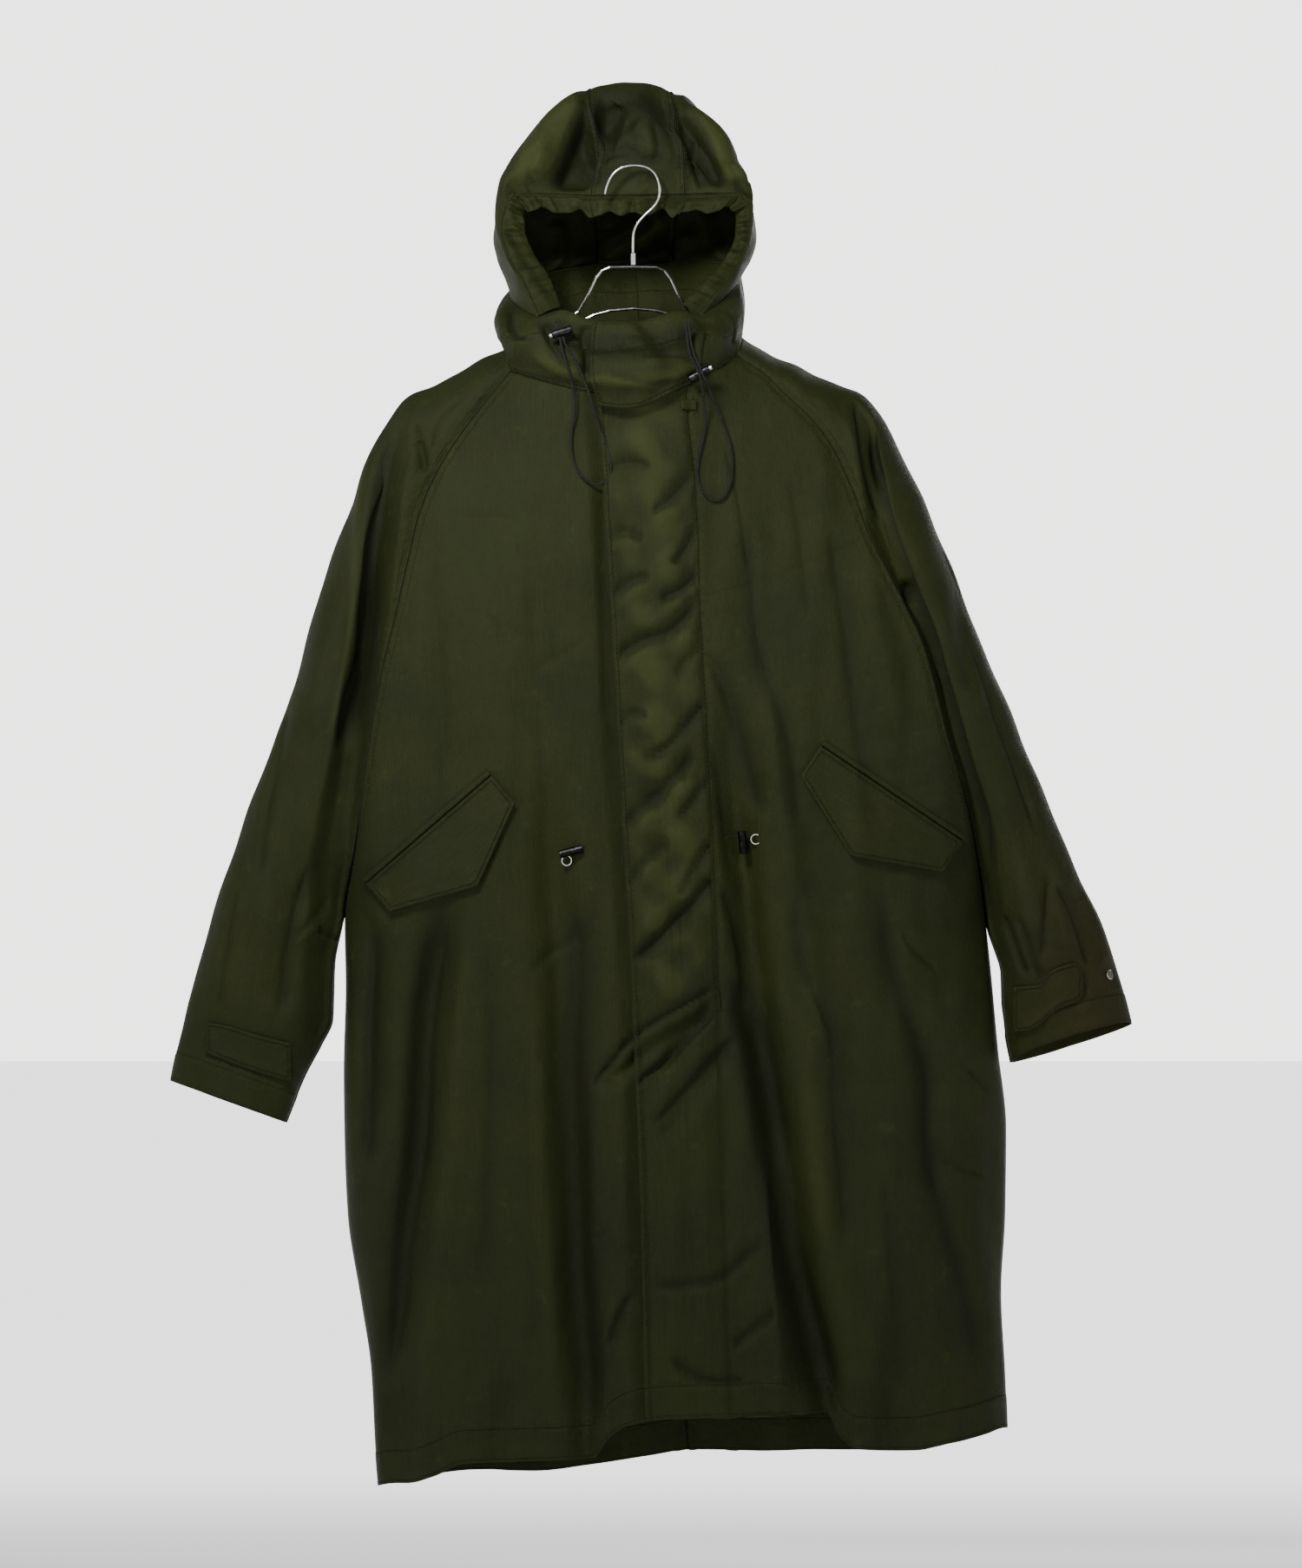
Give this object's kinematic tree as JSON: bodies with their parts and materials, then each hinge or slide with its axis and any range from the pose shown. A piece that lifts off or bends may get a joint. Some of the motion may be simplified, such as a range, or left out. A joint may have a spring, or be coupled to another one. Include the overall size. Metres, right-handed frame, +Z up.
{
  "type": "fishtail parka on hanger",
  "caption": "Long hooded fishtail parka with raglan sleeves, fly front, slanted flap pockets and cord toggles, hanging open-necked on a plain wire hanger.",
  "frame": {"origin": "inner top of the hanger's hook, where it rests on a rail", "axes": "+Z up, front of the coat towards -Y, wearer's left towards +X"},
  "size_m": [0.942, 0.2387, 1.3769],
  "materials": {
    "olive_cloth": "matte woven cotton and nylon",
    "black_cord": "matte braid",
    "dark_barrel": "dark nickel",
    "polished_steel": "polished"
  },
  "bodies": {
    "root": {"front_right": "olive_cloth", "front_left": "olive_cloth", "fly_placket": "olive_cloth", "back_right": "olive_cloth", "back_left": "olive_cloth", "sleeve_right": "olive_cloth", "sleeve_left": "olive_cloth", "hood_right": "olive_cloth", "hood_left": "olive_cloth", "hood_centre": "olive_cloth", "hood_channel": "olive_cloth", "collar_right": "olive_cloth", "collar_left": "olive_cloth", "collar_tab": "olive_cloth", "pocket_flap_right": "olive_cloth", "pocket_flap_left": "olive_cloth", "pocket_welt_right": "olive_cloth", "pocket_welt_left": "olive_cloth", "cuff_tab_right": "olive_cloth", "cuff_tab_left": "olive_cloth", "hood_cord_right": "black_cord", "hood_cord_left": "black_cord", "waist_cord_left": "black_cord", "waist_toggle_right": "black_cord", "waist_toggle_left": "black_cord", "hood_toggle_right": "dark_barrel", "hood_toggle_left": "dark_barrel", "hood_plunger_right": "polished_steel", "hood_plunger_left": "polished_steel", "waist_eyelet_right": "polished_steel", "waist_eyelet_left": "polished_steel", "cuff_snap_left": "polished_steel", "hanger_hook": "polished_steel", "hanger_ferrule": "polished_steel", "hanger_frame": "polished_steel"}
  },
  "joints": []
}
